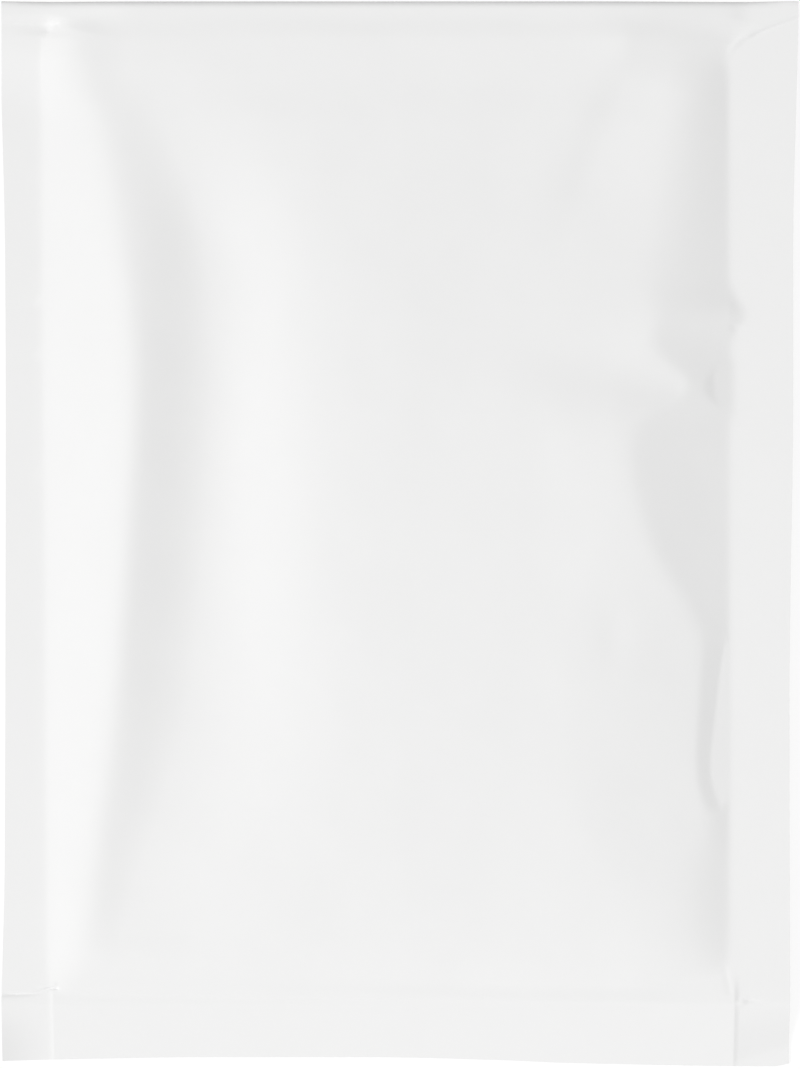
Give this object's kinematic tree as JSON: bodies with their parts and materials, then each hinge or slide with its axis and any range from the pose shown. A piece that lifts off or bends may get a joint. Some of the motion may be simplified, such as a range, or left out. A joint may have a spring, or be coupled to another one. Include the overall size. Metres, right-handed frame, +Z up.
{
  "type": "padded envelope",
  "caption": "Closed padded mailing envelope of plain white paper, softly puffed, with pressed side and bottom seams and a flap folded over the top and glued to the back.",
  "frame": {"origin": "middle of the envelope's outline, on the surface that it lies on", "axes": "+X to the picture's right, +Y towards the folded top, +Z up out of the front"},
  "size_m": [0.17, 0.227, 0.0089],
  "materials": {
    "paper": "smooth white paper, faintly satin"
  },
  "bodies": {
    "root": {"padded_envelope": "paper"}
  },
  "joints": []
}
